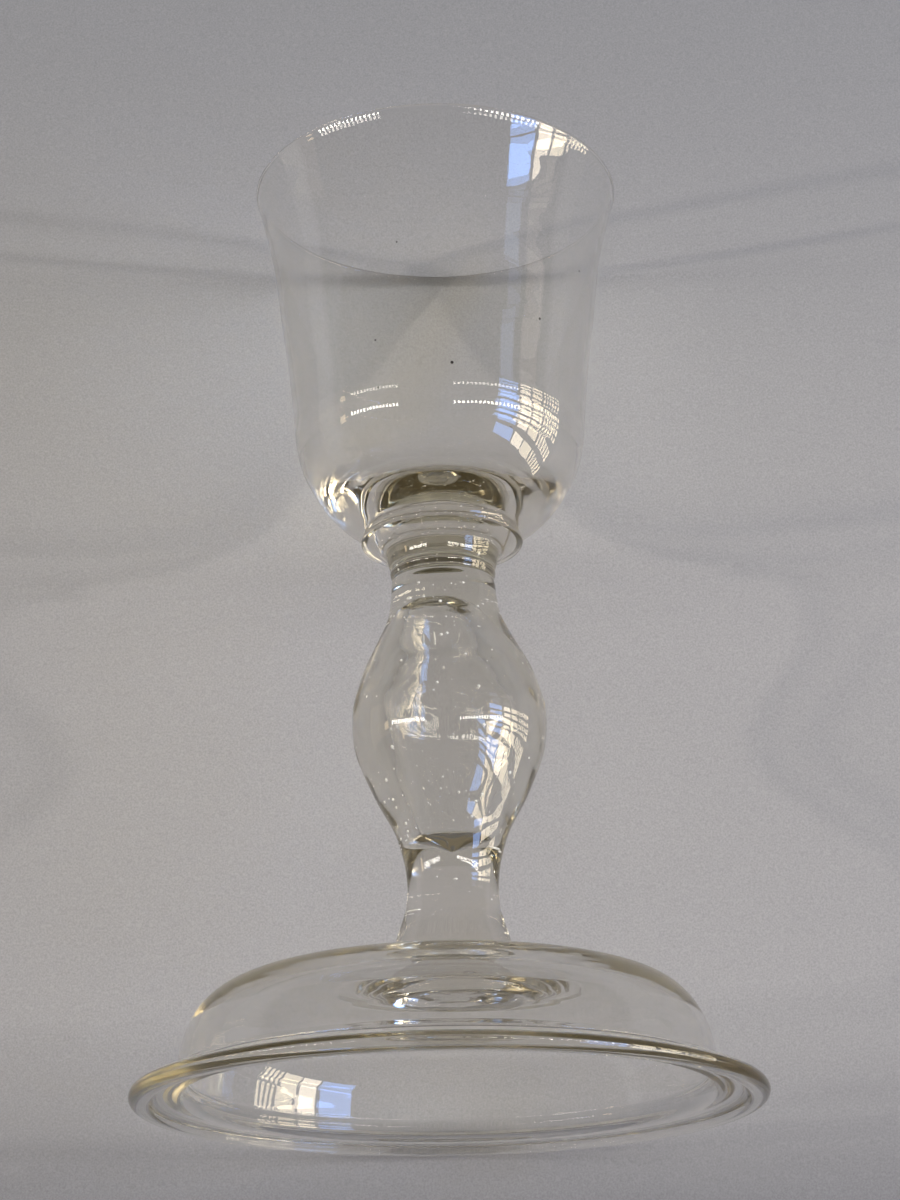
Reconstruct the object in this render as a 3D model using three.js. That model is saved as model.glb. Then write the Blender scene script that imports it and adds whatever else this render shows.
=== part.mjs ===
// A hand-blown glass chalice standing on its foot: a bell bowl, a thin disc and a collar below it, a hollow
// baluster knop, a short solid stem and a high domed foot with a folded rim. The pieces were joined hot, so they
// meet face to face. Millimetres, +Z up, origin at the middle of the foot on the table.

import * as THREE from "three";

// Foot: a flat flange round a high dome.
const footHeight = 31.3;
const footRadius = 77.7;
const flangeWidth = 11.6;
const flangeThickness = 2.2;

// The flange's edge is folded under itself, and the foot rests on the flat of that fold.
const foldWidth = 6.7;
const foldThickness = 2;
const restWidth = 2.5;

// Dome: its wall, how far it stands up from the flange before it curves in, and its round shoulder.
const domeWall = 2.8;
const springRise = 4.3;
const springFillet = 2.8;
const shoulderRise = 18;
const shoulderInset = 10.1;
const crownThickness = 3.2;
const crownLand = 3.2;

// Scar of the glassmaker's rod under the dome, a little off the axis, and the thick glass that carries it.
const scarRadius = 19.2;
const scarDepth = 1.7;
const scarRingWidth = 4.4;
const scarHollowDepth = 0.9;
const scarOffset = 3.4;
const bossMargin = 4.6;
const bossDrop = 1.3;

// Stem and knop, from the dome up: foot of the stem, waist, joint, belly, neck and top.
const stemFootRadius = 16.8;
const footToWaist = 22.7;
const waistRadius = 11.4;
const waistToJoint = 8;
const jointToBelly = 36;
const bellyRadius = 24.7;
const bellyToNeck = 37;
const neckRadius = 13.5;
const neckToTop = 4.7;
const neckFlare = 0.4;

// Air space blown in the knop. Its mouth is at the joint, where the stem closes it.
const bellyWall = 7.3;
const airMouthRadius = 4.6;
const airTopRadius = 6.5;
const airCapHeight = 3;
const solidNeck = 10.7;

// Collar and disc between the knop and the bowl.
const collarHeight = 3.8;
const collarFlare = 1;
const discLedge = 6.3;
const discSlope = 3.25;
const discEdge = 1.5;
const discFall = 0.35;

// Bell bowl: a round base, thick at its floor, below a wall that widens to a thin lip.
const bowlSeatInset = 5.2;
const bowlBaseHeight = 36;
const bowlWallHeight = 65.4;
const bowlShoulderRadius = 38.9;
const lipRadius = 49.3;
const lipWall = 1.2;
const bowlWall = 1.7;
const bowlFloorThickness = 8.6;
const bowlFloorRadius = 10;

// Bell curve of the bowl's wall: how far its ends run straight on, and how far they lean out there.
const wallRun = 21;
const shoulderLean = 1.4;
const lipLean = 5.2;

// Faces round each turned piece, and height of a step along its curves.
const facesRound = 56;
const stepHeight = 5.4;

// Steps round a small edge, round the thin lip's two edges and along a large shoulder.
const edgeSteps = 3;
const lipSteps = 2;
const shoulderSteps = 8;

// Radii and heights that follow from the sizes above. Heights are above the table.
const domeRadius = footRadius - flangeWidth;
const bossRadius = scarOffset + scarRadius + bossMargin;
const bossUnderside = footHeight - crownThickness - bossDrop;
const stemHeight = footToWaist + waistToJoint;
const knopHeight = jointToBelly + bellyToNeck + neckToTop;
const knopTopRadius = neckRadius + neckFlare;
const collarTopRadius = knopTopRadius + collarFlare;
const discRadius = collarTopRadius + discLedge;
const knopBottom = footHeight + stemHeight;
const collarBottom = knopBottom + knopHeight;
const discBottom = collarBottom + collarHeight;
const bowlBottom = discBottom + discSlope + discEdge + discFall;
const lipTop = bowlBottom + bowlBaseHeight + bowlWallHeight;

// Outer surface of the stem and knop: the radius turns at these heights above the table.
const stemTurns = [
  { height: footHeight, radius: stemFootRadius },
  { height: footHeight + footToWaist, radius: waistRadius },
  { height: knopBottom + jointToBelly, radius: bellyRadius },
  { height: collarBottom - neckToTop, radius: neckRadius },
  { height: collarBottom, radius: knopTopRadius },
];

// Surface of the air space, from its mouth to its round top.
const airTurns = [
  { height: knopBottom, radius: airMouthRadius },
  { height: knopBottom + jointToBelly, radius: bellyRadius - bellyWall },
  { height: collarBottom - solidNeck - airCapHeight, radius: airTopRadius },
];

// Reach of a cubic's handles, as a share of its span, that makes it a quarter of an ellipse.
const quarterReach = 0.5523;

// An outline is a list of points, each a radius and a height. It starts and ends on the axis.
function addPoint(outline, radius, height) {
  outline.push(new THREE.Vector2(radius, height));
}

// Cubic curve from the outline's last point, with two handles and an end, each a radius and a height.
function addCurve(outline, [first, second, end], steps) {
  const curve = new THREE.CubicBezierCurve(
    outline.at(-1),
    new THREE.Vector2(...first),
    new THREE.Vector2(...second),
    new THREE.Vector2(...end),
  );
  outline.push(...curve.getPoints(steps).slice(1));
}

// Quarter of an ellipse that leaves level and arrives upright.
function roundUp(outline, radius, height, steps = edgeSteps) {
  const { x, y } = outline.at(-1);
  const first = [x + quarterReach * (radius - x), y];
  const second = [radius, height - quarterReach * (height - y)];
  addCurve(outline, [first, second, [radius, height]], steps);
}

// Quarter of an ellipse that leaves upright and arrives level.
function roundOver(outline, radius, height, steps = edgeSteps) {
  const { x, y } = outline.at(-1);
  const first = [x, y + quarterReach * (height - y)];
  const second = [radius - quarterReach * (radius - x), height];
  addCurve(outline, [first, second, [radius, height]], steps);
}

// Radius at a height on a surface that swings in half cosine waves from one turning point to the next.
function radiusAt(turns, height) {
  const above = turns.findIndex((turn) => turn.height > height);
  const upper = above === -1 ? turns.length - 1 : above;
  const [low, high] = [turns[upper - 1], turns[upper]];
  const share = (height - low.height) / (high.height - low.height);
  return low.radius + (high.radius - low.radius) * 0.5 * (1 - Math.cos(Math.PI * share));
}

// Points on such a surface from one height to another, with one at each turning point between them.
function surfacePoints(turns, from, to) {
  const stops = [from, ...turns.map((turn) => turn.height).filter((height) => height > from && height < to), to];
  const points = [new THREE.Vector2(radiusAt(turns, from), from)];
  for (let stop = 1; stop < stops.length; stop++) {
    const [low, high] = [stops[stop - 1], stops[stop]];
    const steps = Math.ceil((high - low) / stepHeight);
    for (let step = 1; step <= steps; step++) {
      const height = step === steps ? high : low + ((high - low) * step) / steps;
      points.push(new THREE.Vector2(radiusAt(turns, height), height));
    }
  }
  return points;
}

// Turns an outline round the upright axis.
function turned(name, outline, material) {
  const geometry = new THREE.LatheGeometry(outline, facesRound);
  geometry.rotateX(Math.PI / 2);
  const mesh = new THREE.Mesh(geometry, material);
  mesh.name = name;
  return mesh;
}

// Soda glass: nearly clear where it is thin, olive where it is thick.
function sodaGlass(color, roughness) {
  return new THREE.MeshStandardMaterial({ color, roughness, metalness: 0, transparent: true, opacity: 0.4 });
}

// Dome, flange and folded rim in one piece. The outline runs out under the foot and back over it.
function domedFoot() {
  const rimRound = (flangeThickness + foldThickness) / 2;
  const restOuter = footRadius - rimRound;
  const springTop = foldThickness + flangeThickness + springRise;
  const innerRadius = domeRadius - domeWall;
  const innerSpring = foldThickness + springRise;
  const ceiling = footHeight - crownThickness;
  const outline = [];
  addPoint(outline, 0, bossUnderside);
  addPoint(outline, bossRadius - bossDrop, bossUnderside);
  addPoint(outline, bossRadius, ceiling);
  const underCrown = [innerRadius - shoulderInset, ceiling];
  const underShoulder = [innerRadius, innerSpring + shoulderRise];
  addCurve(outline, [underCrown, underShoulder, [innerRadius, innerSpring]], shoulderSteps);
  roundOver(outline, innerRadius + springFillet, foldThickness);
  addPoint(outline, footRadius - foldWidth, foldThickness);
  roundOver(outline, restOuter - restWidth, 0);
  addPoint(outline, restOuter, 0);
  roundUp(outline, footRadius, rimRound);
  roundOver(outline, restOuter, 2 * rimRound);
  addPoint(outline, domeRadius + springFillet, 2 * rimRound);
  roundUp(outline, domeRadius, springTop);
  const shoulder = [domeRadius, springTop + shoulderRise];
  const crown = [domeRadius - shoulderInset, footHeight];
  addCurve(outline, [shoulder, crown, [stemFootRadius + crownLand, footHeight]], shoulderSteps);
  addPoint(outline, 0, footHeight);
  return turned("domed_foot", outline, sodaGlass(0xc9cfc2, 0.05));
}

// Ring of glass that the rod left, with a shallow hollow where it broke off. Its top is welded to the foot.
function pontilScar() {
  const bottom = bossUnderside - scarDepth;
  const hollowRadius = scarRadius - scarRingWidth;
  const outline = [];
  addPoint(outline, 0, bottom + scarHollowDepth);
  addPoint(outline, hollowRadius - scarHollowDepth, bottom + scarHollowDepth);
  addPoint(outline, hollowRadius, bottom);
  roundUp(outline, scarRadius, bossUnderside);
  addPoint(outline, 0, bossUnderside);
  const mesh = turned("pontil_scar", outline, sodaGlass(0xb9bda9, 0.25));
  mesh.position.x = scarOffset;
  return mesh;
}

// Solid lower stem, spread like a trumpet where it stands on the dome.
function lowerStem() {
  const outline = [];
  addPoint(outline, 0, footHeight);
  outline.push(...surfacePoints(stemTurns, footHeight, knopBottom));
  addPoint(outline, 0, knopBottom);
  return turned("lower_stem", outline, sodaGlass(0xc3c9ba, 0.05));
}

// Hollow baluster with its solid neck. The outline runs up outside it, down the axis to the air space and down
// inside that to the mouth, where it closes on its first point.
function balusterKnop() {
  const airBottomUp = surfacePoints(airTurns, knopBottom, airTurns.at(-1).height);
  const outline = [airBottomUp[0].clone()];
  outline.push(...surfacePoints(stemTurns, knopBottom, collarBottom));
  addPoint(outline, 0, collarBottom);
  addPoint(outline, 0, collarBottom - solidNeck);
  roundUp(outline, airTopRadius, airTurns.at(-1).height);
  outline.push(...airBottomUp.reverse().slice(1));
  return turned("baluster_knop", outline, sodaGlass(0xcbd1c4, 0.05));
}

// Short collar that widens to the disc.
function neckCollar() {
  const outline = [];
  addPoint(outline, 0, collarBottom);
  addPoint(outline, knopTopRadius, collarBottom);
  roundUp(outline, collarTopRadius, discBottom);
  addPoint(outline, 0, discBottom);
  return turned("neck_collar", outline, sodaGlass(0xa9ad92, 0.05));
}

// Thin disc with a sloping underside and a round edge, between the collar and the bowl.
function merese() {
  const edgeRound = discEdge / 2;
  const edgeBottom = discBottom + discSlope;
  const outline = [];
  addPoint(outline, 0, discBottom);
  addPoint(outline, collarTopRadius, discBottom);
  addPoint(outline, discRadius - edgeRound, edgeBottom);
  roundUp(outline, discRadius, edgeBottom + edgeRound);
  roundOver(outline, discRadius - edgeRound, edgeBottom + discEdge);
  addPoint(outline, discRadius - bowlSeatInset, bowlBottom);
  addPoint(outline, 0, bowlBottom);
  return turned("merese", outline, sodaGlass(0xc3c9ba, 0.05));
}

// Bell bowl. The outline runs up outside the wall, over the fire-polished lip and down inside to the floor.
function bowl() {
  const lipRound = lipWall / 2;
  const wallTop = lipTop - lipRound;
  const shoulder = bowlBottom + bowlBaseHeight;
  const innerShoulder = bowlShoulderRadius - bowlWall;
  const innerLip = lipRadius - lipWall;
  const wallSteps = Math.ceil(bowlWallHeight / stepHeight);
  const outline = [];
  addPoint(outline, 0, bowlBottom);
  addPoint(outline, discRadius - bowlSeatInset, bowlBottom);
  roundUp(outline, bowlShoulderRadius, shoulder, shoulderSteps);
  const outsideLow = [bowlShoulderRadius + shoulderLean, shoulder + wallRun];
  const outsideHigh = [lipRadius - lipLean, wallTop - wallRun];
  addCurve(outline, [outsideLow, outsideHigh, [lipRadius, wallTop]], wallSteps);
  roundOver(outline, lipRadius - lipRound, lipTop, lipSteps);
  roundUp(outline, innerLip, wallTop, lipSteps);
  const insideHigh = [innerLip - lipLean, wallTop - wallRun];
  const insideLow = [innerShoulder + shoulderLean, shoulder + wallRun];
  addCurve(outline, [insideHigh, insideLow, [innerShoulder, shoulder]], wallSteps);
  roundOver(outline, bowlFloorRadius, bowlBottom + bowlFloorThickness, shoulderSteps);
  addPoint(outline, 0, bowlBottom + bowlFloorThickness);
  return turned("bowl", outline, sodaGlass(0xdde2dc, 0.03));
}

const chalice = new THREE.Group();
chalice.add(domedFoot(), pontilScar(), lowerStem(), balusterKnop(), neckCollar(), merese(), bowl());

export default chalice;
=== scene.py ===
"""Looks of the glass chalice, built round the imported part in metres.

Every glass piece is a surface of revolution worked out on a grid: an outline of radius and height, in
millimetres, is carried round an axis that wanders a little, as on glass worked by hand. Where two pieces
were joined hot there is no skin between them, so both meet in faces that let light straight through.
"""

import math

import bpy
import numpy as np
from mathutils import Matrix, Vector


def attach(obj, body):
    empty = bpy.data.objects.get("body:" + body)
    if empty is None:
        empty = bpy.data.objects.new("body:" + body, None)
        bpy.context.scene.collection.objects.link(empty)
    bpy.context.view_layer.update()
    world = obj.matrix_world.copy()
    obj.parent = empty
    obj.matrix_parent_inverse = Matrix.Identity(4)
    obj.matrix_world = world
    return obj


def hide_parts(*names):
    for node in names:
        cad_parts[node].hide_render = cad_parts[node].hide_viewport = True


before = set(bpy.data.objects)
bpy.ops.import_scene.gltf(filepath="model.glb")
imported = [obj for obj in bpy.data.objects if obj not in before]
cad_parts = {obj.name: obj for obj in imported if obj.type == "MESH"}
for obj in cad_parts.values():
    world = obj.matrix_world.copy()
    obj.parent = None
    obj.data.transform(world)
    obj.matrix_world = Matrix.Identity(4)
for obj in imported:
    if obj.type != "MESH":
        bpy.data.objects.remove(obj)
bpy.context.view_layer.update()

MM = 0.001
ROUND = 240  # points round each turned piece
FLAT = 6  # steps across a flat face where two pieces meet
SKIN_TENS = 0.3  # light that meets a face from outside is tinted as by this many tens of millimetres
rng = np.random.default_rng(7)

# Materials


def linear(hex_colour):
    """An sRGB hex colour as linear red, green, blue and an alpha of 1."""
    values = [int(hex_colour[i : i + 2], 16) / 255 for i in (1, 3, 5)]
    return [v / 12.92 if v <= 0.04045 else ((v + 0.055) / 1.055) ** 2.4 for v in values] + [1.0]


def add(tree, kind, settings=None, inputs=None, links=None):
    """Adds a node, sets its properties and input values, and links its inputs from other nodes' outputs."""
    node = tree.nodes.new(kind)
    for key, value in (settings or {}).items():
        setattr(node, key, value)
    for key, value in (inputs or {}).items():
        node.inputs[key].default_value = value
    for key, source in (links or {}).items():
        tree.links.new(source, node.inputs[key])
    return node


def blank(name):
    """A new material with an empty node tree, and that tree."""
    material = bpy.data.materials.new(name)
    material.use_nodes = True
    material.node_tree.nodes.clear()
    return material, material.node_tree


def soda_glass(name, clear, dense, cord_mm, ripple_mm, deep_mm, shade, face="#fbfbf9"):
    """Hand-blown soda-lime glass, fire polished. clear and dense are the colours that 10 mm of it leaves of
    white light, and soft cords cord_mm wide swing between them. The skin has faint ripples, ripple_mm apart
    and deep_mm deep. Light that arrives at a face from inside is tinted by the way it came: the colour to
    the power of that length. face is what a lamp's light keeps where it meets the skin face on, and shade
    where it meets it at a slant."""
    material, tree = blank(name)
    place = add(tree, "ShaderNodeTexCoord").outputs["Object"]
    cords = add(
        tree,
        "ShaderNodeTexNoise",
        inputs={"Scale": 1 / (cord_mm * MM), "Detail": 2.0, "Roughness": 0.5},
        links={"Vector": place},
    )
    tint = add(tree, "ShaderNodeMix", {"data_type": "RGBA"}, links={"Factor": cords.outputs["Fac"]})
    tint.inputs[6].default_value = linear(clear)
    tint.inputs[7].default_value = linear(dense)
    path = add(tree, "ShaderNodeLightPath")
    side = add(tree, "ShaderNodeNewGeometry")
    tens = add(
        tree,
        "ShaderNodeMath",
        {"operation": "MULTIPLY"},
        inputs={1: 1 / (10 * MM)},
        links={0: path.outputs["Ray Length"]},
    )
    power = add(
        tree,
        "ShaderNodeMix",
        inputs={"A": SKIN_TENS},
        links={"Factor": side.outputs["Backfacing"], "B": tens.outputs[0]},
    )
    left = add(tree, "ShaderNodeGamma", links={"Color": tint.outputs[2], "Gamma": power.outputs[0]})
    wave = add(
        tree,
        "ShaderNodeTexNoise",
        inputs={"Scale": 1 / (ripple_mm * MM), "Detail": 1.0, "Roughness": 0.4},
        links={"Vector": place},
    )
    skin = add(
        tree,
        "ShaderNodeBump",
        inputs={"Strength": 1.0, "Distance": deep_mm * MM},
        links={"Height": wave.outputs["Fac"]},
    )
    glass = add(
        tree,
        "ShaderNodeBsdfGlass",
        inputs={"Roughness": 0.0, "IOR": 1.52},
        links={"Color": left.outputs["Color"], "Normal": skin.outputs["Normal"]},
    )
    # Lamps' light reaches what lies behind the glass, less where it would meet the skin at a slant.
    slant = add(tree, "ShaderNodeLayerWeight", inputs={"Blend": 0.5})
    slant_squared = add(
        tree, "ShaderNodeMath", {"operation": "POWER"}, inputs={1: 2.0}, links={0: slant.outputs["Facing"]}
    )
    dim = add(tree, "ShaderNodeMix", {"data_type": "RGBA"}, links={"Factor": slant_squared.outputs[0]})
    dim.inputs[6].default_value = linear(face)
    dim.inputs[7].default_value = linear(shade)
    through = add(tree, "ShaderNodeBsdfTransparent", links={"Color": dim.outputs[2]})
    choice = add(
        tree,
        "ShaderNodeMixShader",
        links={0: path.outputs["Is Shadow Ray"], 1: glass.outputs["BSDF"], 2: through.outputs["BSDF"]},
    )
    add(tree, "ShaderNodeOutputMaterial", links={"Surface": choice.outputs["Shader"]})
    return material


def joined_hot(name, colour):
    """No skin at all: the place inside the glass where two gathers melted into one. Light that crosses it
    takes on the colour given."""
    material, tree = blank(name)
    clear = add(tree, "ShaderNodeBsdfTransparent", inputs={"Color": linear(colour)})
    add(tree, "ShaderNodeOutputMaterial", links={"Surface": clear.outputs["BSDF"]})
    return material


def furnace_ash():
    """Specks of furnace ash caught in the glass: dull and nearly black."""
    material, tree = blank("furnace_ash_specks")
    speck = add(
        tree, "ShaderNodeBsdfPrincipled", inputs={"Base Color": linear("#1d1b19"), "Roughness": 0.8}
    )
    add(tree, "ShaderNodeOutputMaterial", links={"Surface": speck.outputs["BSDF"]})
    return material


def seed_skins():
    """Skins of the seeds, the tiny bubbles in the glass. A real seed's glint is finer than a pixel, so half
    of each skin is drawn as pale and matt."""
    material, tree = blank("seed_skins_in_glass")
    clear = add(tree, "ShaderNodeBsdfTransparent")
    glint = add(tree, "ShaderNodeBsdfDiffuse", inputs={"Color": linear("#f3f2ec")})
    choice = add(
        tree,
        "ShaderNodeMixShader",
        inputs={0: 0.5},
        links={1: clear.outputs["BSDF"], 2: glint.outputs["BSDF"]},
    )
    add(tree, "ShaderNodeOutputMaterial", links={"Surface": choice.outputs["Shader"]})
    return material


# Outlines: arrays of radius and height in millimetres


def line(start, end, steps):
    """Evenly spaced points from start to end."""
    t = np.linspace(0, 1, steps + 1)[:, None]
    return np.array(start) * (1 - t) + np.array(end) * t


def bend(start, first, second, end, steps):
    """Cubic curve: each end's pull fades in with the cube of the way to it, each handle's with a square."""
    t = np.linspace(0, 1, steps + 1)[:, None]
    a, b, c, d = (np.array(p, float) for p in (start, first, second, end))
    return a * (1 - t) ** 3 + 3 * b * t * (1 - t) ** 2 + 3 * c * t**2 * (1 - t) + d * t**3


def quarter(start, end, upright_last, steps):
    """Quarter of an ellipse from start to end: sine of the angle one way, one less its cosine the other."""
    a = np.linspace(0, math.pi / 2, steps + 1)
    (r0, z0), (r1, z1) = start, end
    if upright_last:
        return np.stack([r0 + (r1 - r0) * np.sin(a), z0 + (z1 - z0) * (1 - np.cos(a))], 1)
    return np.stack([r0 + (r1 - r0) * (1 - np.cos(a)), z0 + (z1 - z0) * np.sin(a)], 1)


def smooth(knots, at):
    """Smooth curve through knots (height, value): a cubic between each two, whose slopes are those of the
    parabola through each knot and its neighbours."""
    x, y = np.array(knots, float).T
    slope = np.gradient(y, x, edge_order=2)
    i = np.clip(np.searchsorted(x, at) - 1, 0, len(x) - 2)
    h = x[i + 1] - x[i]
    t = np.clip((at - x[i]) / h, 0, 1)
    return (
        y[i] * (1 + 2 * t) * (1 - t) ** 2
        + slope[i] * h * t * (1 - t) ** 2
        + y[i + 1] * t**2 * (3 - 2 * t)
        + slope[i + 1] * h * t**2 * (t - 1)
    )


def upright(knots, bottom, top, step):
    """Outline up a wall whose radius is the smooth curve through knots, a point each step millimetres."""
    z = np.linspace(bottom, top, max(2, int(round(abs(top - bottom) / step))) + 1)
    return np.stack([smooth(knots, z), z], 1)


def joined(*runs):
    """Runs of an outline end to end, with the doubled points between them taken out."""
    return np.concatenate([runs[0]] + [run[1:] for run in runs[1:]])


def marked(*runs):
    """The outline of several runs, each given with its material number, and each step's material number."""
    outline = joined(*[points for points, _ in runs])
    return outline, np.concatenate([np.full(len(points) - 1, slot) for points, slot in runs])


def eased(t):
    """Goes from 0 to 1 with a level start and end: three times its square less twice its cube."""
    return t * t * (3 - 2 * t)


# The axis wanders: how far it lies to the right of the true one, in millimetres, at each height.
AXIS_X = [
    (0, 0.0), (18, -0.5), (26, -0.3), (36, 1.1), (48, 1.5), (62, 1.5), (90, 1.3),
    (112, 1.0), (130, 0.3), (142, 0.0), (160, -0.1), (200, -0.3), (250, -0.5),
]


def axis_at(z):
    """Where the worked axis is at each height."""
    return smooth(AXIS_X, np.clip(z, AXIS_X[0][0], AXIS_X[-1][0]))


# Meshes

# Material numbers. Every piece has its own glass and the join first.
GLASS, WELD = 0, 1
SEED = 2  # in the collar, the knop and the stem
RIM = 2  # in the foot
ASH, LIP, BOWL_SEED = 2, 3, 4  # in the bowl


class Shell:
    """Gathers grids of points and the faces between them for one piece."""

    def __init__(self):
        self.points, self.faces, self.slots, self.sharp, self.count = [], [], [], [], 0

    def turn(self, outline, slots, centre=None, shape=None):
        """Carries an outline that starts and ends on its axis round it. centre gives the axis's x for each
        point of the outline, and shape(angle, radius, height) the finished radius and height. slots is a
        material number for each step of the outline. A ring where the skin meets a join stays sharp."""
        r, z = outline[:, 0], outline[:, 1]
        cx = axis_at(z) if centre is None else centre
        angle = np.arange(ROUND) * (2 * math.pi / ROUND)
        rings = np.arange(1, len(r) - 1)
        rr = np.repeat(r[rings, None], ROUND, 1)
        zz = np.repeat(z[rings, None], ROUND, 1)
        if shape is not None:
            rr, zz = shape(angle[None, :], rr, zz)
        x = cx[rings, None] + rr * np.cos(angle)
        grid = np.stack([x, rr * np.sin(angle), zz], 2).reshape(-1, 3)
        first = self.count
        poles = np.array([[cx[0], 0, z[0]], [cx[-1], 0, z[-1]]])
        self.points += [poles, grid]
        here = first + 2 + np.arange(len(rings) * ROUND).reshape(len(rings), ROUND)
        after = np.roll(here, -1, 1)
        low, high = here[:-1], here[1:]
        quads = np.stack([low, after[:-1], after[1:], high], 2).reshape(-1, 4)
        self.faces.append(quads)
        self.slots.append(np.repeat(slots[1:-1], ROUND))
        start = np.stack([np.full(ROUND, first), after[0], here[0]], 1)
        end = np.stack([np.full(ROUND, first + 1), here[-1], after[-1]], 1)
        self.faces += [start, end]
        self.slots += [np.full(ROUND, slots[0]), np.full(ROUND, slots[-1])]
        for ring in np.flatnonzero(np.diff(slots == WELD)) + 1:
            self.sharp.append(here[ring - 1])
        self.count += 2 + len(grid)

    def seeds(self, places, sizes, slot, solid=False):
        """Tiny bubbles in the glass: ellipsoids of a few rings between two poles, whose faces look into
        their air. Those of solid specks look outwards."""
        levels, around = 5, 8
        lat = np.linspace(0, math.pi, levels + 2)[1:-1]
        lon = np.arange(around) * (2 * math.pi / around)
        ball = np.stack(
            [
                np.outer(np.sin(lat), np.cos(lon)).ravel(),
                np.outer(np.sin(lat), np.sin(lon)).ravel(),
                np.repeat(np.cos(lat), around),
            ],
            1,
        )
        ball = np.concatenate([[[0, 0, 1]], ball, [[0, 0, -1]]])
        n = len(ball)
        rings = 1 + np.arange(levels * around).reshape(levels, around)
        after = np.roll(rings, -1, 1)
        quads = np.stack([rings[:-1], after[:-1], after[1:], rings[1:]], 2).reshape(-1, 4)
        top = np.stack([np.zeros(around, int), after[0], rings[0]], 1)
        bottom = np.stack([np.full(around, n - 1), rings[-1], after[-1]], 1)
        places, sizes = np.atleast_2d(places), np.atleast_2d(sizes)
        self.points.append((places[:, None, :] + ball[None] * sizes[:, None, :]).reshape(-1, 3))
        shift = self.count + n * np.arange(len(places))
        for block in (quads, top, bottom):
            if solid:
                block = block[:, ::-1]
            self.faces.append((block[None] + shift[:, None, None]).reshape(-1, block.shape[1]))
            self.slots.append(np.full(len(block) * len(places), slot))
        self.count += n * len(places)

    def piece(self, node, slot, materials):
        """Makes the mesh, rides it on the body, and stands it in for its CAD node."""
        points = np.concatenate(self.points) * MM
        corners = np.concatenate([f.ravel() for f in self.faces])
        sizes = np.concatenate([np.full(len(f), f.shape[1]) for f in self.faces])
        starts = np.concatenate([[0], np.cumsum(sizes)[:-1]])
        mesh = bpy.data.meshes.new(node + "_glass")
        mesh.vertices.add(len(points))
        mesh.vertices.foreach_set("co", points.astype(np.float32).ravel())
        mesh.loops.add(len(corners))
        mesh.loops.foreach_set("vertex_index", corners.astype(np.int32))
        mesh.polygons.add(len(sizes))
        mesh.polygons.foreach_set("loop_start", starts.astype(np.int32))
        mesh.polygons.foreach_set("loop_total", sizes.astype(np.int32))
        mesh.polygons.foreach_set("material_index", np.concatenate(self.slots).astype(np.int32))
        mesh.polygons.foreach_set("use_smooth", np.ones(len(sizes), bool))
        mesh.update(calc_edges=True)
        mesh.validate()
        if self.sharp:
            # Sharp are the edges along a marked ring, whose ends are level, and not those between two rings.
            ends = np.zeros(len(mesh.edges) * 2, np.int32)
            mesh.edges.foreach_get("vertices", ends)
            flag = np.zeros(self.count, bool)
            flag[np.concatenate(self.sharp)] = True
            ends = ends.reshape(-1, 2)
            level = np.abs(points[ends[:, 0], 2] - points[ends[:, 1], 2]) < 0.02 * MM
            ring = flag[ends].all(1) & level
            mesh.attributes.new("sharp_edge", "BOOLEAN", "EDGE").data.foreach_set("value", ring)
        for material in materials:
            mesh.materials.append(material)
        made = bpy.data.objects.new(node + "_glass", mesh)
        bpy.context.scene.collection.objects.link(made)
        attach(made, "root")
        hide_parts(node)
        return made


# Sizes in millimetres

# Heights where the pieces meet.
DOME_TOP, STEM_TOP, KNOP_TOP, COLLAR_TOP, MERESE_TOP, LIP_TOP = 31.3, 62.0, 139.7, 143.5, 148.6, 250.0
# Radii of the flat faces between neck and collar, collar and disc, and disc and bowl.
NECK_R, COLLAR_R, SEAT_R = 13.35, 14.9, 19.2
# The scar: the height of the crown that carries it, its radius, and how far right of the true axis it is.
CROWN, SCAR_R, SCAR_ASIDE = 26.8, 19.2, 3.4

# Outer radius of the stem and the knop at each height.
STEM = [
    (31.3, 16.9), (32.0, 16.75), (33.5, 16.2), (36, 15.4), (39, 14.86), (42, 14.0), (45, 13.01), (48, 12.14),
    (51, 11.59), (54, 11.39), (57, 11.56), (60, 11.94), (63, 12.58), (66, 13.38), (69, 14.43), (72, 15.9),
    (75, 17.56), (78, 19.11), (81, 20.46), (84, 21.74), (87, 22.94), (90, 23.9), (93, 24.43), (96, 24.66),
    (99, 24.68), (102, 24.42), (105, 23.68), (108, 22.76), (111, 21.77), (114, 20.42), (117, 18.86),
    (120, 17.34), (123, 15.92), (126, 14.75), (129, 14.09), (132, 13.67), (135, 13.45), (136.4, 13.2),
    (137.6, 13.55), (138.6, 13.7), (139.7, 13.35),
]

# Air space in the knop: radius at each height, a pinched lower end and a blunt top.
AIR = [
    (68.2, 8.4), (70.5, 9.4), (73.5, 10.7), (78, 12.6), (83, 14.7), (90, 16.9), (96, 17.7), (101, 17.4),
    (106.5, 15.4), (112, 12.6), (118, 9.9), (123, 7.8), (126.5, 5.9), (128.4, 3.6),
]

# Outer radius of the bowl at each height.
BOWL = [
    (150.2, 20.2), (153, 25.6), (156, 28.96), (159, 31.4), (162, 33.35), (165, 35.0), (168, 36.38),
    (171, 37.35), (174, 37.95), (177, 38.33), (180, 38.6), (186, 39.12), (192, 39.71), (198, 40.4),
    (204, 41.2), (210, 42.02), (216, 42.77), (222, 43.48), (228, 44.3), (233, 45.22), (240, 46.8),
    (243, 47.5), (246, 48.27), (247.6, 48.72), (249.3, 49.28),
]

# Outside of the dome: radius and height, from the flange up and in to the stem.
DOME = [
    (66.0, 8.5), (65.7, 9.8), (65, 13.2), (64.2, 16.4), (63, 19.4), (61.5, 22.1), (59.7, 24.4), (57.4, 26.5),
    (54.6, 28.2), (51, 29.5), (46.2, 30.5), (38.9, 31.1), (30, 31.28), (22, DOME_TOP), (17.0, DOME_TOP),
]

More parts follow.
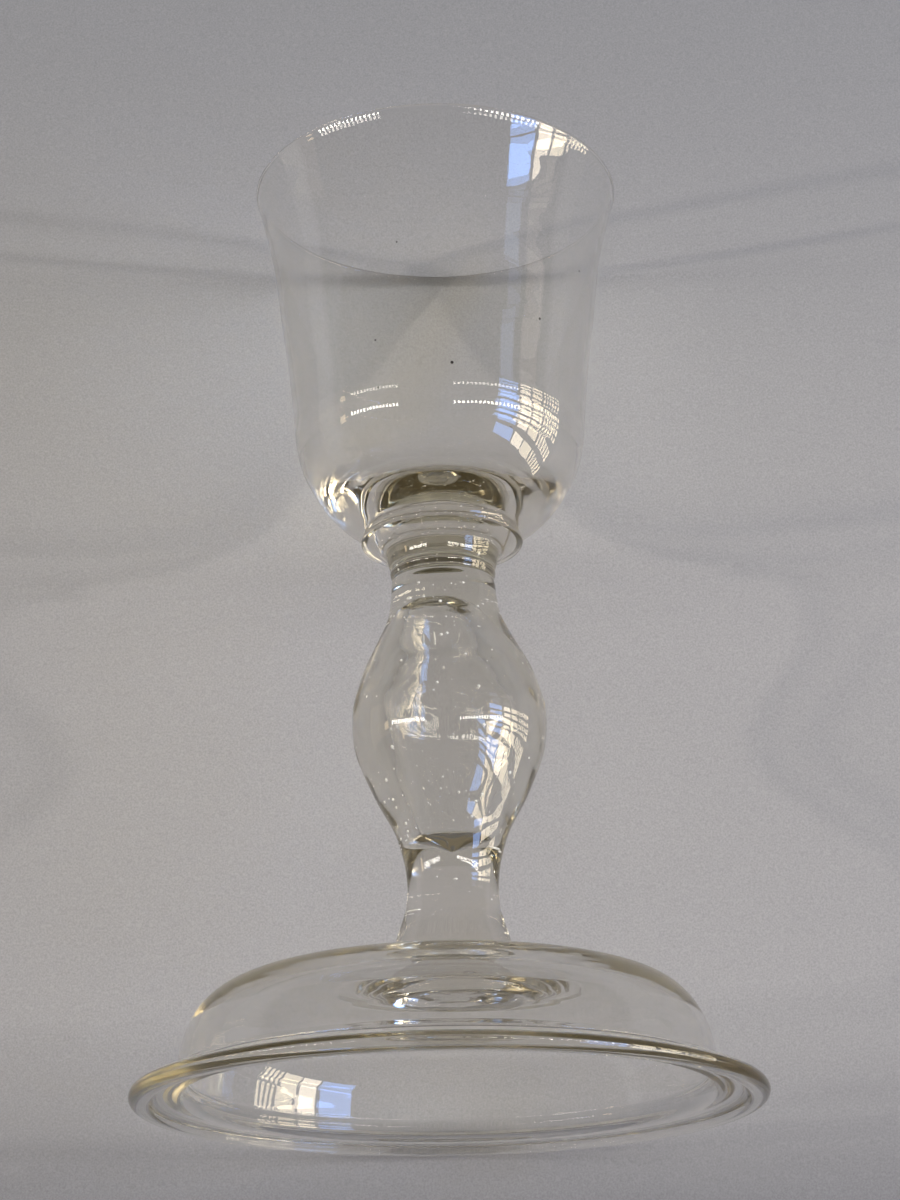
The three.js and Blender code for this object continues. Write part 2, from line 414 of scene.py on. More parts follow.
# The dome's wall: its thickness at each radius.
DOME_WALL = [(30, 3.5), (48, 3.3), (58, 2.8), (63, 2.4), (66, 2.7)]


# Forms that several pieces share


def wavy(angle, r, z, lobes):
    """Radius with soft waves round it. Each of lobes is a count round, a share of the radius, how fast the
    wave turns with height, and where it starts."""
    for count, share, turn, start in lobes:
        r = r * (1 + share * np.sin(count * angle + turn * z + start))
    return r, z


def turned(side, shape=None):
    """Shell of a piece joined hot to its neighbours in flat faces below and above its side."""
    (low_r, low), (high_r, high) = side[0], side[-1]
    below, above = line((0, low), (low_r, low), FLAT), line((high_r, high), (0, high), FLAT)
    outline, slots = marked((below, WELD), (side, GLASS), (above, WELD))
    shell = Shell()
    shell.turn(outline, slots, shape=shape)
    return shell


def scatter(count, low, high, radius_in, radius_out):
    """Random places inside a ring-shaped space between two heights. radius_in and radius_out give its inner
    and outer radius at a height."""
    z = rng.uniform(low, high, count)
    angle = rng.uniform(0, 2 * math.pi, count)
    inner, outer = radius_in(z), radius_out(z)
    r = np.sqrt(rng.uniform(0, 1, count) * (outer**2 - inner**2) + inner**2)
    return np.stack([axis_at(z) + r * np.cos(angle), r * np.sin(angle), z], 1)


def seed_sizes(count, small, large):
    """Half widths of seeds, most of them small, and up to a quarter taller than wide."""
    size = small + (large - small) * rng.uniform(0, 1, count) ** 3
    return np.stack([size, size, size * rng.uniform(1.0, 1.25, count)], 1)


def to_axis(z):
    """Inner radius of a space that reaches in to the axis."""
    return 0.0


# The glass of each piece

weld = joined_hot("joined_hot_clear_glass", "#ffffff")
# The length of light's way is counted anew from a join, so the collar's joins carry some of its olive.
olive_weld = joined_hot("joined_hot_olive_glass", "#eeece4")
seed_skin = seed_skins()
ash = furnace_ash()

# Thin blown wall: nearly colourless face on, olive along it.
bowl_glass = soda_glass("soda_glass_blown_bowl", "#faf9f6", "#f8f7f4", 18, 7, 0.010, "#3c3b38")
# The fire-polished lip throws lamps' light aside, so its shadow is the darkest.
lip_glass = soda_glass(
    "soda_glass_fire_polished_lip", "#faf9f6", "#f8f7f4", 18, 7, 0.010, "#1c1b19", face="#8e8d89"
)
# Thick blown knop: a faint olive from the long way through it.
knop_glass = soda_glass("soda_glass_blown_knop", "#f7f6f3", "#f6f5f1", 14, 6, 0.012, "#5c5b57")
# Solid drawn stem: its cords lie closer, so what shows through it wavers more.
stem_glass = soda_glass("soda_glass_solid_stem", "#faf9f7", "#f9f8f5", 12, 5, 0.012, "#5c5b57")
# Thick collar: the deepest olive, with close cords.
collar_glass = soda_glass("soda_glass_thick_collar", "#f3f2ec", "#eeede4", 8, 4, 0.012, "#5c5b57")
# Disc pressed flat while hot: clear, with bright edges.
merese_glass = soda_glass("soda_glass_pressed_merese", "#faf9f7", "#f9f8f5", 10, 5, 0.010, "#5c5b57")
# Spun foot: broad cords, and so clear that it hardly shades what lies behind it.
foot_glass = soda_glass(
    "soda_glass_spun_foot", "#faf9f6", "#f8f7f3", 16, 8, 0.012, "#e6e5e1", face="#ffffff"
)
# Folded rim: two layers of the foot's glass, with a deeper shadow.
rim_glass = soda_glass(
    "soda_glass_folded_rim", "#faf9f6", "#f8f7f3", 16, 8, 0.012, "#74736d", face="#eceae7"
)
# Where the rod was broken off the skin is rough and glitters.
scar_glass = soda_glass("soda_glass_broken_scar", "#f8f7f4", "#f5f4ef", 4, 1.5, 0.05, "#a9a8a2")


# Pieces, from the foot up


def domed_foot():
    """Dome, flange and folded rim: out under the crown, down inside, under the fold, over the rim and back
    over the dome. The inside is the outside set in, square to it, by the wall's thickness. Round the scar
    run ripples: a sine that dies away outwards."""
    ripples_r, ripples_rise, ripples_tall, ripples_count = 27.2, 1.3, 0.34, 3.5
    crown = line((0, CROWN), (SCAR_R, CROWN), 8)
    ripples = line(crown[-1], (ripples_r, CROWN), 60)
    way = (ripples[:, 0] - SCAR_R) / (ripples_r - SCAR_R)
    swing = np.sin(way * ripples_count * 2 * math.pi) * (1 - way) * np.sin(math.pi * way) ** 0.5
    ripples[:, 1] += ripples_rise * eased(way) + ripples_tall * swing

    knots, at = np.arange(len(DOME)), np.linspace(0, len(DOME) - 1, 160)
    over = np.stack([smooth(np.stack([knots, part], 1), at) for part in np.array(DOME).T], 1)
    along = np.gradient(over, axis=0)
    inward = np.stack([-along[:, 1], along[:, 0]], 1) / np.linalg.norm(along, axis=1)[:, None]
    wall_r, wall = np.array(DOME_WALL).T
    set_in = over + inward * np.interp(over[:, 0], wall_r, wall)[:, None]
    set_in = set_in[over[:, 0] > wall_r[0]][::-1]

    # Where the inside ends, the fold's shelf, its tread, the rim's widest and highest points, the flange.
    inside_end, shelf_in, shelf_out = (63.3, 6.3), (66.1, 2.0), (70.6, 2.0)
    tread_in, tread_out, widest, highest = (73.4, 0.0), (75.2, 0.0), (77.5, 2.1), (75.2, 4.2)
    flange_in = (69.2, 4.2)
    inner = joined(
        bend(ripples[-1], (28.2, 28.1), (29.0, 28.1), set_in[0], 6), set_in, line(set_in[-1], inside_end, 6)
    )
    hollow = joined(crown, ripples, inner)
    fold = joined(
        line(shelf_in, shelf_out, 8),
        bend(shelf_out, (72.2, 2.0), (71.9, 0.0), tread_in, 16),
        line(tread_in, tread_out, 4),
    )
    rim = joined(quarter(tread_out, widest, True, 18), quarter(widest, highest, False, 18))
    outline, slots = marked(
        (crown, WELD),
        (ripples, GLASS),
        (inner, GLASS),
        (quarter(inside_end, shelf_in, False, 16), GLASS),
        (fold, RIM),
        (rim, RIM),
        (line(highest, flange_in, 10), RIM),
        (quarter(flange_in, DOME[0], True, 20), GLASS),
        (over, GLASS),
        (line(DOME[-1], (0, DOME_TOP), FLAT), WELD),
    )

    # The axis bends to the scar's under the crown, and to the stem's on top of the dome.
    r, z = outline.T
    point = np.arange(len(r))
    to_scar = eased(np.clip((40 - r) / 14, 0, 1))
    to_stem = np.clip((45 - r) / 20, 0, 1)
    centre = axis_at(z)
    centre = np.where(point < len(hollow), centre * (1 - to_scar) + SCAR_ASIDE * to_scar, centre)
    crest = axis_at(29.0) * (1 - to_stem) + axis_at(DOME_TOP) * to_stem
    centre = np.where(point > len(r) - 60, crest, centre)

    def unround(angle, r, z):
        """Towards the rim the foot is a little oval."""
        out = np.clip((r - 60) / 17, 0, 1)
        return r - 0.12 * out * (1 + np.sin(2 * angle + 0.5)), z

    shell = Shell()
    shell.turn(outline, slots, centre=centre, shape=unround)
    shell.piece("domed_foot", "foot_glass", (foot_glass, weld, rim_glass))


def pontil_scar():
    """Broken ring of glass under the crown, with a shallow rough hollow. Its skin is moved up and down by
    six waves round it, which fade out towards the crown."""
    hollow = bend((0, 26.1), (8.0, 26.2), (12.6, 26.2), (14.8, 25.15), 30)
    ring = bend(hollow[-1], (15.6, 24.95), (17.0, 24.95), (17.9, 25.4), 14)
    edge = bend(ring[-1], (18.8, 25.9), (19.2, 26.3), (SCAR_R, CROWN), 12)
    join = line(edge[-1], (0, CROWN), 8)
    outline, slots = marked((hollow, GLASS), (ring, GLASS), (edge, GLASS), (join, WELD))
    waves = rng.normal(0, 1, (6, 4))

    def broken(angle, r, z):
        """Sum of the waves, each with a height, a pitch along the radius and a start of its own."""
        rough = sum(a * np.sin((k + 2) * angle + b * r + c) for k, (a, b, c, _) in enumerate(waves))
        return r, z + 0.05 * rough * np.clip((26.7 - z) / 0.6, 0, 1)

    shell = Shell()
    shell.turn(outline, slots, centre=np.full(len(outline), SCAR_ASIDE), shape=broken)
    shell.piece("pontil_scar", "scar_glass", (scar_glass, weld))


def lower_stem():
    """Solid lower stem, spread like a trumpet where it stands on the dome. One bubble in it is large."""
    shell = turned(upright(STEM, DOME_TOP, STEM_TOP, 0.3))
    places = scatter(24, 33, 60, to_axis, lambda z: smooth(STEM, z) - 1)
    shell.seeds(places, seed_sizes(24, 0.1, 0.3), SEED)
    shell.seeds([[5.0, -12.0, 34.9]], [[1.5, 1.2, 1.2]], GLASS)
    shell.piece("lower_stem", "stem_glass", (stem_glass, weld, seed_skin))


def baluster_knop():
    """Hollow baluster with its solid neck, and the air space blown in it, which leans to the left at its
    top."""

    def swollen(angle, r, z):
        """The swell is a little out of round: two waves, a bell curve in height."""
        swell = np.exp(-(((z - 95) / 22) ** 2))
        return wavy(angle, r, z, [(2, 0.006 * swell, 0.02, 0.4), (3, 0.004 * swell, 0.05, 1.1)])

    def blown(angle, r, z):
        """The air space is more out of round, with fine flutes."""
        lobes = [(2, 0.02, 0.03, 1.9), (3, 0.012, 0.08, 0.3), (5, 0.006, -0.1, 2.0), (11, 0.0035, 0.22, 0.8)]
        return wavy(angle, r, z, lobes)

    shell = turned(upright(STEM, STEM_TOP, KNOP_TOP, 0.4), swollen)
    air_low, air_high = AIR[0][0], AIR[-1][0]
    air_top, air_end = 129.0, 63.4
    z = np.linspace(air_high, air_low, 156)
    wall = np.stack([smooth(AIR, z), z], 1)
    top = quarter((0.0, air_top), wall[0], True, 8)
    corner = bend(wall[-1], (8.15, 67.6), (7.9, 67.0), (7.0, 66.5), 10)
    tip = bend(corner[-1], (5.0, 65.5), (2.4, 64.9), (0.0, air_end), 16)
    air, slots = marked((top, GLASS), (wall, GLASS), (corner, GLASS), (tip, GLASS))
    lean = axis_at(air[:, 1]) - 1.6 * np.clip((air[:, 1] - 85) / 43, 0, 1) ** 1.3
    shell.turn(air, slots, centre=lean, shape=blown)

    def past_air(z):
        """A millimetre outside the air space, and so near the axis above it."""
        return smooth(AIR, np.clip(z, air_low, air_high)) * (z < air_top) + 1.0

    places = scatter(240, 66, 134, past_air, lambda z: smooth(STEM, z) - 0.8)
    shell.seeds(places, seed_sizes(240, 0.13, 0.42), SEED)
    shell.piece("baluster_knop", "knop_glass", (knop_glass, weld, seed_skin))


def neck_collar():
    """Short collar that widens to the disc, with the tool's groove at its lower edge."""
    groove = bend((NECK_R, KNOP_TOP), (13.75, 139.9), (13.95, 140.3), (14.1, 140.9), 10)
    side = joined(groove, bend(groove[-1], (14.3, 141.9), (14.5, 142.8), (COLLAR_R, COLLAR_TOP), 14))
    shell = turned(side)
    places = scatter(10, 140.3, 143.0, to_axis, lambda z: 12.5)
    shell.seeds(places, seed_sizes(10, 0.1, 0.25), SEED)
    shell.piece("neck_collar", "collar_glass", (collar_glass, olive_weld, seed_skin))


def merese():
    """Thin disc: out over a sloping underside, round its edge and back to the bowl's seat."""
    under = bend((COLLAR_R, COLLAR_TOP), (15.3, 144.9), (17.2, 146.0), (20.5, 146.5), 24)
    widest = (21.2, 147.3)
    edge = joined(quarter(under[-1], widest, True, 8), quarter(widest, (20.5, 148.1), False, 8))
    shell = turned(joined(under, edge, line(edge[-1], (SEAT_R, MERESE_TOP), 4)))
    shell.piece("merese", "merese_glass", (merese_glass, weld))


def bowl():
    """Bell bowl: up the outer wall, over the fire-polished lip, down inside and in over the thick floor.
    The wall's thickness falls evenly to the lip, and low down it grows with the square of the depth."""
    lip_low, crest, inside_low = BOWL[-1][0], (48.62, LIP_TOP), 172.0
    seat = line((0, MERESE_TOP), (SEAT_R, MERESE_TOP), FLAT)
    base = bend(seat[-1], (19.5, 149.3), (19.8, 149.8), BOWL[0][::-1], 8)
    wall = upright(BOWL, BOWL[0][0], lip_low, 0.5)
    lip_out = quarter(wall[-1], crest, False, 8)
    lip_in = quarter(crest, (48.0, lip_low), True, 8)
    z = np.linspace(lip_low, inside_low, 150)
    # 1.6 mm at a height of 182 mm, 1.25 mm at the lip, and up to 0.8 mm more from 179.5 mm down.
    thick = 1.6 - 0.35 * (z - 182) / 67.3 + 0.8 * np.clip((179.5 - z) / 7.5, 0, 1) ** 2
    inside = np.stack([smooth(BOWL, z) - thick, z], 1)
    floor = bend(inside[-1], (inside[-1][0] - 1.8, 165.0), (26.5, 159.6), (16.8, 158.3), 60)
    gutter = bend(floor[-1], (16.0, 158.2), (15.4, 158.15), (14.6, 158.18), 8)
    # The kick in the middle of the floor has a low ring round it, a bell curve.
    kick = bend(gutter[-1], (11.0, 158.35), (5.0, 158.75), (0.0, 158.85), 44)
    kick[:, 1] += 0.12 * np.exp(-(((kick[:, 0] - 10.6) / 0.35) ** 2))
    in_glass = [(run, GLASS) for run in (inside, floor, gutter, kick)]
    outline, slots = marked(
        (seat, WELD), (base, GLASS), (wall, GLASS), (lip_out, LIP), (lip_in, LIP), *in_glass
    )
    # The lip's glass reaches four steps down the wall on either side.
    lip = np.flatnonzero(slots == LIP)
    slots[lip[0] - 4 : lip[-1] + 5] = LIP

    def unround(angle, r, z):
        """The lip rises and dips. The wall is a little oval, more so higher up, with faint waves on it."""
        up = np.clip((z - 150) / 100, 0, 1)
        r = r * (1 - 0.0035 * up + 0.0035 * up * np.sin(2 * angle + 0.7))
        fine = 0.00025 * np.sin(z * 0.55 + 2 * angle) * up
        r = r * (1 + 0.0012 * up * np.sin(3 * angle + z * 0.05) + fine)
        r = r * (1 + 0.0014 * up * np.sin(9 * angle + z * 0.07) * np.clip((246 - z) / 20, 0, 1))
        return r, z - 0.25 * up**8 * (1 + np.sin(2 * angle + 1.0))

    shell = Shell()
    shell.turn(outline, slots, shape=unround)
    places = scatter(26, 175, 246, lambda z: smooth(BOWL, z) - 1.05, lambda z: smooth(BOWL, z) - 0.55)
    shell.seeds(places, seed_sizes(26, 0.08, 0.24), BOWL_SEED)
    places = scatter(30, 150.5, 156.2, to_axis, lambda z: 17)
    shell.seeds(places, seed_sizes(30, 0.1, 0.3), BOWL_SEED)
    # Specks of ash: degrees from -Y towards +X, and height and half width in millimetres.
    specks = [
        (5, 181, 0.42), (-24, 176, 0.3), (41, 197, 0.34), (62, 216, 0.3), (-14, 214, 0.22), (150, 190, 0.35),
        (205, 225, 0.3),
    ]
    angle, height, half = np.array(specks).T
    radius, a = smooth(BOWL, height) - 0.5, np.radians(angle)
    places = np.stack([axis_at(height) + radius * np.sin(a), -radius * np.cos(a), height], 1)
    shell.seeds(places, half[:, None] * np.ones(3), ASH, solid=True)
    shell.piece("bowl", "bowl_glass", (bowl_glass, weld, ash, lip_glass, seed_skin))


for make in (domed_foot, pontil_scar, lower_stem, baluster_knop, neck_collar, merese, bowl):
    make()


# Stage: a pale board behind the chalice, as if it lay on it, and a floor that shows only from above


def paint_grain(tree, colour, fleck, fleck_mm):
    """Colour of matt emulsion paint with a fine grain of flecks fleck_mm wide, and the place on it."""
    place = add(tree, "ShaderNodeTexCoord").outputs["Object"]
    grain = add(
        tree,
        "ShaderNodeTexNoise",
        inputs={"Scale": 1 / (fleck_mm * MM), "Detail": 3.0},
        links={"Vector": place},
    )
    tone = add(tree, "ShaderNodeMix", {"data_type": "RGBA"}, links={"Factor": grain.outputs["Fac"]})
    tone.inputs[6].default_value = linear(colour)
    tone.inputs[7].default_value = linear(fleck)
    return tone.outputs[2], place


def paint_skin(tree, colour, gone):
    """Covers a sheet with matt paint that is clear seen from behind, and as far as gone, 0 to 1, says."""
    paint = add(tree, "ShaderNodeBsdfDiffuse", links={"Color": colour})
    clear = add(tree, "ShaderNodeBsdfTransparent")
    behind = add(tree, "ShaderNodeNewGeometry").outputs["Backfacing"]
    away = add(tree, "ShaderNodeMath", {"operation": "MAXIMUM"}, links={0: gone, 1: behind})
    choice = add(
        tree,
        "ShaderNodeMixShader",
        links={0: away.outputs[0], 1: paint.outputs["BSDF"], 2: clear.outputs["BSDF"]},
    )
    add(tree, "ShaderNodeOutputMaterial", links={"Surface": choice.outputs["Shader"]})


def grey_board_paint_and_shade():
    """Matt emulsion paint on the board: a soft grey, with painted shade that darkens it towards its two
    ends, below the foot the most. Reflections show only a band of it down its middle, and beyond that the
    room."""
    band_half = 0.27
    material, tree = blank("matt_paint_grey_board_painted_shade")
    colour, place = paint_grain(tree, "#aeadac", "#868586", 0.5)
    spot = add(tree, "ShaderNodeSeparateXYZ", links={0: place})
    # Painted shade: heights in metres between which each band of it fades in, and the colour it multiplies
    # the paint by.
    for start, end, shade in ((0.13, 0.37, "#e0e3e7"), (0.05, -0.05, "#bec0c6")):
        share = add(
            tree,
            "ShaderNodeMapRange",
            {"interpolation_type": "SMOOTHSTEP"},
            inputs={"From Min": start, "From Max": end},
            links={"Value": spot.outputs["Z"]},
        )
        # The paint multiplied by the painted shade.
        painted_shade = add(
            tree,
            "ShaderNodeMix",
            {"data_type": "RGBA", "blend_type": "MULTIPLY"},
            links={"Factor": share.outputs["Result"], "A": colour},
        )
        painted_shade.inputs[7].default_value = linear(shade)
        colour = painted_shade.outputs[2]
    aside = add(tree, "ShaderNodeMath", {"operation": "ABSOLUTE"}, links={0: spot.outputs["X"]})
    outer = add(
        tree,
        "ShaderNodeMath",
        {"operation": "GREATER_THAN"},
        inputs={1: band_half},
        links={0: aside.outputs[0]},
    )
    path = add(tree, "ShaderNodeLightPath")
    mirrored = add(
        tree,
        "ShaderNodeMath",
        {"operation": "MULTIPLY"},
        links={0: outer.outputs[0], 1: path.outputs["Is Glossy Ray"]},
    )
    paint_skin(tree, colour, mirrored.outputs[0])
    return material


def pale_floor_paint():
    """Matt pale paint on the floor. It shows only straight and through glass, not in reflections, lets
    lamps' light by, and thins out to nothing between 0.5 and 0.9 m from the middle."""
    material, tree = blank("matt_paint_pale_floor")
    colour, place = paint_grain(tree, "#e4e2e0", "#dedcda", 0.7)
    far = add(tree, "ShaderNodeVectorMath", {"operation": "LENGTH"}, links={0: place})
    edge = add(
        tree,
        "ShaderNodeMapRange",
        inputs={"From Min": 0.5, "From Max": 0.9},
        links={"Value": far.outputs["Value"]},
    )
    path = add(tree, "ShaderNodeLightPath")
    straight = add(
        tree,
        "ShaderNodeMath",
        {"operation": "LESS_THAN"},
        inputs={1: 0.5},
        links={0: path.outputs["Glossy Depth"]},
    )
    through = add(
        tree,
        "ShaderNodeMath",
        {"operation": "MULTIPLY"},
        links={0: straight.outputs[0], 1: path.outputs["Is Transmission Ray"]},
    )
    seen = add(
        tree,
        "ShaderNodeMath",
        {"operation": "MAXIMUM"},
        links={0: through.outputs[0], 1: path.outputs["Is Camera Ray"]},
    )
    unseen = add(
        tree, "ShaderNodeMath", {"operation": "SUBTRACT"}, inputs={0: 1.0}, links={1: seen.outputs[0]}
    )
    thin = add(
        tree,
        "ShaderNodeMath",
        {"operation": "MAXIMUM"},
        links={0: unseen.outputs[0], 1: edge.outputs["Result"]},
    )
    paint_skin(tree, colour, thin.outputs[0])
    return material


def sheet(name, corners, material):
    """Flat four-cornered stage sheet that faces the side from which its corners run anticlockwise."""
    mesh = bpy.data.meshes.new(name)
    mesh.from_pydata([tuple(c) for c in corners], [], [(0, 1, 2, 3)])
    mesh.materials.append(material)
    made = bpy.data.objects.new(name, mesh)
    bpy.context.scene.collection.objects.link(made)


# The board touches the back of the foot's rim and of the lip, but for a hair.
foot_back, lip_back, hair = Vector((0, 0.0777, 0.0021)), Vector((0, 0.0493, 0.2495)), 0.0006
up_board = (lip_back - foot_back).normalized()
off_board = Vector((0, up_board.z, -up_board.y))
touch = foot_back + off_board * hair
across, below, above = 1.1, 0.75, 1.0
corners = ((-across, -below), (across, -below), (across, above), (-across, above))
sheet("board", [touch + Vector((x, 0, 0)) + up_board * s for x, s in corners], grey_board_paint_and_shade())
floor_half = 2.0
corners = ((-1, -1), (1, -1), (1, 1), (-1, 1))
sheet("floor", [(x * floor_half, y * floor_half, 0) for x, y in corners], pale_floor_paint())

# Light

AIM = Vector((0, 0, 0.2))  # the middle of the bowl, which every lamp faces
WINDOW_FAR, CEILING_FAR = 1.9, 2.2  # metres


def facing(azimuth, elevation):
    """Unit vector at azimuth degrees from -Y towards +X, and elevation degrees up."""
    a, e = math.radians(azimuth), math.radians(elevation)
    return Vector((math.sin(a) * math.cos(e), -math.cos(a) * math.cos(e), math.sin(e)))


def lamp(name, middle, width, height, colour, radiance, seen=True):
    """Rectangular lamp at middle, upright, that faces the bowl. Each point of it has the radiance given, so
    a large lamp sheds more light but looks no brighter. Where seen is false no glass shows it."""
    data = bpy.data.lights.new(name, "AREA")
    data.shape = "RECTANGLE"
    data.size, data.size_y = width, height
    data.color = linear(colour)[:3]
    data.energy = radiance * math.pi * width * height
    if seen:
        # Shown by reflections only: straight through the glass the room behind shows, as it does beside it.
        data.use_nodes = True
        tree = data.node_tree
        tree.nodes.clear()
        path = add(tree, "ShaderNodeLightPath")
        straight = add(
            tree,
            "ShaderNodeMath",
            {"operation": "LESS_THAN"},
            inputs={1: 0.5},
            links={0: path.outputs["Glossy Depth"]},
        )
        both = add(
            tree,
            "ShaderNodeMath",
            {"operation": "MULTIPLY"},
            links={0: straight.outputs[0], 1: path.outputs["Is Transmission Ray"]},
        )
        strength = add(
            tree,
            "ShaderNodeMath",
            {"operation": "MULTIPLY_ADD"},
            inputs={1: -1.0, 2: 1.0},
            links={0: both.outputs[0]},
        )
        glow = add(tree, "ShaderNodeEmission", links={"Strength": strength.outputs[0]})
        add(tree, "ShaderNodeOutputLight", links={"Surface": glow.outputs["Emission"]})
    made = bpy.data.objects.new(name, data)
    bpy.context.scene.collection.objects.link(made)
    z = (middle - AIM).normalized()
    x = Vector((0, 0, 1)).cross(z).normalized()
    made.matrix_world = Matrix.Translation(middle) @ Matrix((x, z.cross(x), z)).transposed().to_4x4()
    made.visible_camera = False
    made.visible_glossy = made.visible_transmission = seen


def patch(name, azimuths, elevations, far, colour, radiance):
    """Lamp that fills a span of azimuth and elevation, as seen from the middle of the bowl."""
    (a0, a1), (e0, e1) = azimuths, elevations
    middle = AIM + facing((a0 + a1) / 2, (e0 + e1) / 2) * far
    width = 2 * far * math.tan(math.radians(abs(a1 - a0) / 2))
    height = 2 * far * math.tan(math.radians(abs(e1 - e0) / 2))
    lamp(name, middle, width, height, colour, radiance)


def window_light():
    """Window to the right: blue sky in its near column of panes, cream light in the middle one and a
    patterned curtain at the far side. The top panes are dim."""
    rows = [(-27, -20.5), (-17, -11.5), (-8.4, -5), (-3, 1.4), (3.0, 5.6), (7.3, 10.3)]
    panes = [
        ("sky", (47, 63), "#86b2ff", 9.0),
        ("cream", (65.5, 74.5), "#fff2dc", 13.0),
        ("pale", (76.5, 86), "#fff0d2", 10.0),
    ]
    for m, row in enumerate(rows):
        for pane, span, colour, radiance in panes:
            patch(f"window_{pane}_{m}", span, row, WINDOW_FAR, colour, radiance)
        for n in range(6):
            patch(f"curtain_{m}_{n}", (88 + 3 * n, 89.6 + 3 * n), row, WINDOW_FAR, "#fff0d2", 9.0)
    # Height of each top pane, the span of its sky, and the sky's radiance.
    tops = [(11.0, 12.6, 49, 60, 1.0), (12.9, 14.4, 52, 62, 0.6), (14.7, 17.5, 48, 58, 1.1)]
    for m, (low, high, near, far, sky) in enumerate(tops):
        patch(f"window_top_sky_{m}", (near, far), (low, high), WINDOW_FAR, "#a9c4f0", sky)
        patch(f"window_top_cream_{m}", (near + 17, far + 22), (low, high), WINDOW_FAR, "#fff0dc", 0.6 * sky)


def slats(name, azimuths, elevations, heights, count, radiance):
    """Row of bright slats from one azimuth and elevation to another: a ceiling light behind its louvre.
    heights are the slats' heights in degrees at the two ends."""
    for n in range(count):
        t = (n + 0.5) / count
        a = azimuths[0] * (1 - t) + azimuths[1] * t
        e = elevations[0] * (1 - t) + elevations[1] * t
        h = heights[0] * (1 - t) + heights[1] * t
        wide = (azimuths[1] - azimuths[0]) / count * 0.5
        span = (a - wide / 2, a + wide / 2)
        patch(f"{name}_{n}", span, (e - h / 2, e + h / 2), CEILING_FAR, "#fffaf2", radiance)


window_light()
slats("slats_left", (-72, -31), (0.3, -5.0), (3.5, 3.6), 15, 26)
slats("slats_right", (10, 65), (-6, 1.8), (3.0, 3.7), 17, 26)
patch("left_lamp", (-82, -77), (-4, 2.5), 2.0, "#ffe2b4", 5.0)
lamp("left_room", Vector((-1.9, 0.1, 0.25)), 1.1, 0.8, "#ffe9c8", 0.2)
# Soft light from in front, too broad to see in the glass.
lamp("soft_front", Vector((0.35, -2.2, 0.5)), 1.6, 1.6, "#fffdfb", 0.1, seen=False)
# Long strip nearly level with the lip: the whole ring's shadow falls in one thin line.
lamp("low_strip", Vector((0, -2.2, 0.22)), 3.6, 0.03, "#fffaf5", 28, seen=False)
# Soft light from the left and from above.
lamp("soft_left", Vector((-1.8, -1.2, 0.1)), 1.2, 1.2, "#fff8ee", 0.1, seen=False)
lamp("soft_top", Vector((0.0, -0.6, 2.2)), 1.6, 1.6, "#fffdfb", 1.8, seen=False)
# Small far lamps low on either side, for the long thin shadows of the lip on the board.
lamp("low_left", AIM + facing(-66, -9) * 2.2, 0.055, 0.055, "#fff4e4", 2000, seen=False)
lamp("low_right", AIM + facing(70, -6) * 2.2, 0.055, 0.055, "#fff8f0", 2200, seen=False)


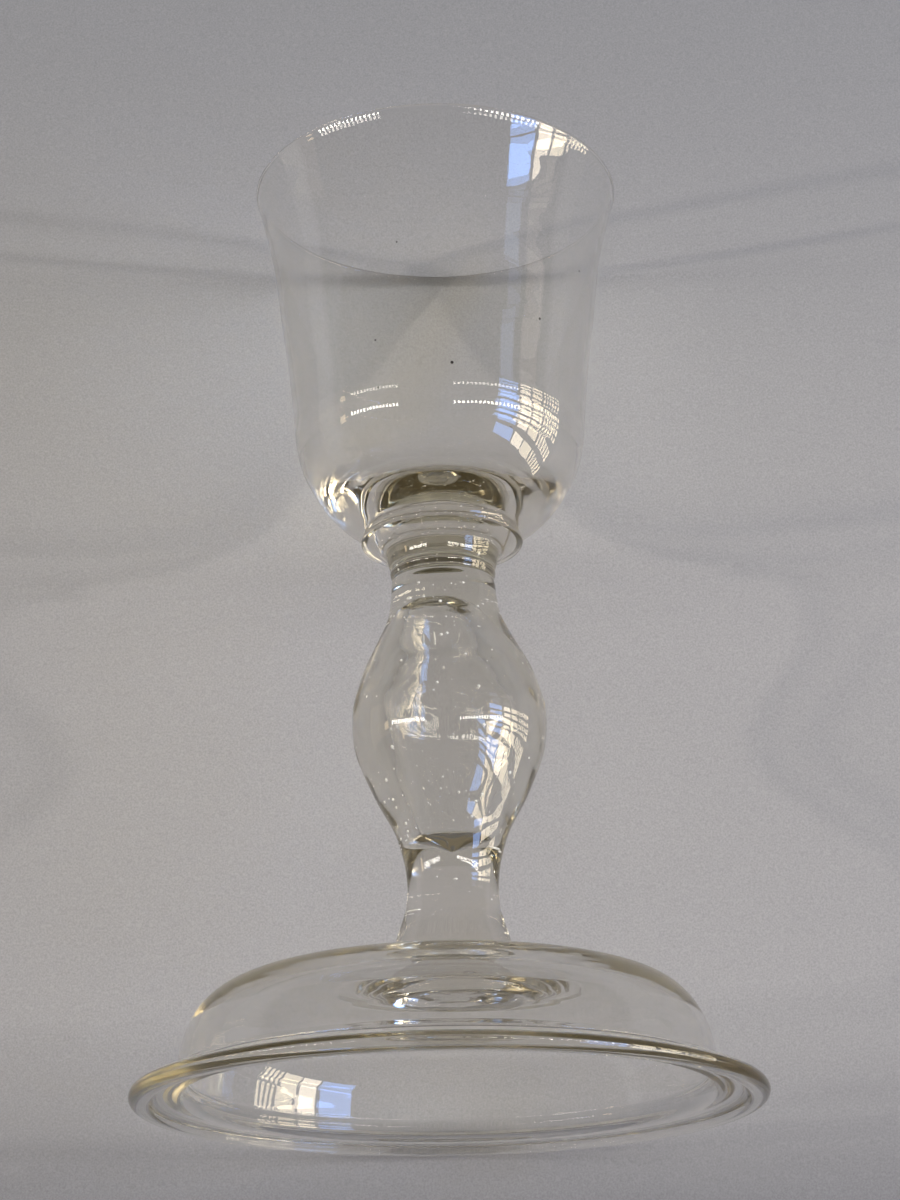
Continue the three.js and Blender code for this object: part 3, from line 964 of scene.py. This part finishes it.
def room():
    """World: straight on and through glass the pale backdrop shows. Light that was turned back inside the
    glass comes from the backdrop's side (+Y), or else from a dim warm room, less dim from steeply below."""
    world = bpy.data.worlds.new("room")
    bpy.context.scene.world = world
    world.use_nodes = True
    tree = world.node_tree
    tree.nodes.clear()
    path = add(tree, "ShaderNodeLightPath").outputs
    way = add(tree, "ShaderNodeTexCoord").outputs["Generated"]
    way = add(tree, "ShaderNodeSeparateXYZ", links={0: way}).outputs
    shades = (linear("#a9a7a7"), [0.125, 0.113, 0.097, 1], [0.23, 0.2, 0.155, 1])
    backdrop, warm, below = [
        add(tree, "ShaderNodeBackground", inputs={"Color": shade, "Strength": 1.0}).outputs[0]
        for shade in shades
    ]
    # How far a direction points steeply down, and how far towards the backdrop, from 0 to 1.
    steep, beyond = [
        add(
            tree,
            "ShaderNodeMapRange",
            {"interpolation_type": "SMOOTHSTEP"},
            inputs={"From Min": start, "From Max": end},
            links={"Value": way[axis]},
        ).outputs["Result"]
        for axis, start, end in (("Z", -0.42, -0.7), ("Y", -0.08, 0.06))
    ]
    straight = add(
        tree,
        "ShaderNodeMath",
        {"operation": "LESS_THAN"},
        inputs={1: 0.5},
        links={0: path["Glossy Depth"]},
    ).outputs[0]
    mix = "ShaderNodeMixShader"
    level = add(tree, mix, links={0: beyond, 1: warm, 2: backdrop}).outputs[0]
    turned_back = add(tree, mix, links={0: steep, 1: level, 2: below}).outputs[0]
    through = add(tree, mix, links={0: straight, 1: turned_back, 2: backdrop}).outputs[0]
    off_skin = add(tree, mix, links={0: path["Is Glossy Ray"], 1: warm, 2: level}).outputs[0]
    by_glass = add(tree, mix, links={0: path["Is Transmission Ray"], 1: off_skin, 2: through}).outputs[0]
    choice = add(tree, mix, links={0: path["Is Camera Ray"], 1: by_glass, 2: backdrop}).outputs[0]
    add(tree, "ShaderNodeOutputWorld", links={"Surface": choice})


room()

# Camera, fitted to the ellipses of the lip and the foot, and render settings

YAW, PITCH, ROLL = 0.0028913, 0.360172, -0.015054  # radians
CAMERA_AT = (0, -0.63338, -0.107266)  # metres
FOCAL_PX, PHOTO_PX, SENSOR_MM = 2608.57, 1200, 36
ahead = Vector((math.sin(YAW) * math.cos(PITCH), math.cos(YAW) * math.cos(PITCH), math.sin(PITCH)))
right = ahead.cross(Vector((0, 0, 1))).normalized()
up = right.cross(ahead)
rolled_right = right * math.cos(ROLL) + up * math.sin(ROLL)
rolled_up = -right * math.sin(ROLL) + up * math.cos(ROLL)
camera = bpy.data.objects.new("camera", bpy.data.cameras.new("camera"))
bpy.context.scene.collection.objects.link(camera)
turn = Matrix((rolled_right, rolled_up, -ahead)).transposed().to_4x4()
camera.matrix_world = Matrix.Translation(CAMERA_AT) @ turn
camera.data.sensor_width = SENSOR_MM
camera.data.lens = FOCAL_PX * SENSOR_MM / PHOTO_PX
camera.data.clip_start = 0.01
bpy.context.scene.camera = camera

scene = bpy.context.scene
scene.view_settings.view_transform = "Standard"
scene.cycles.max_bounces = 64
scene.cycles.transmission_bounces = 64
scene.cycles.glossy_bounces = 64
scene.cycles.transparent_max_bounces = 32
scene.cycles.use_denoising = True
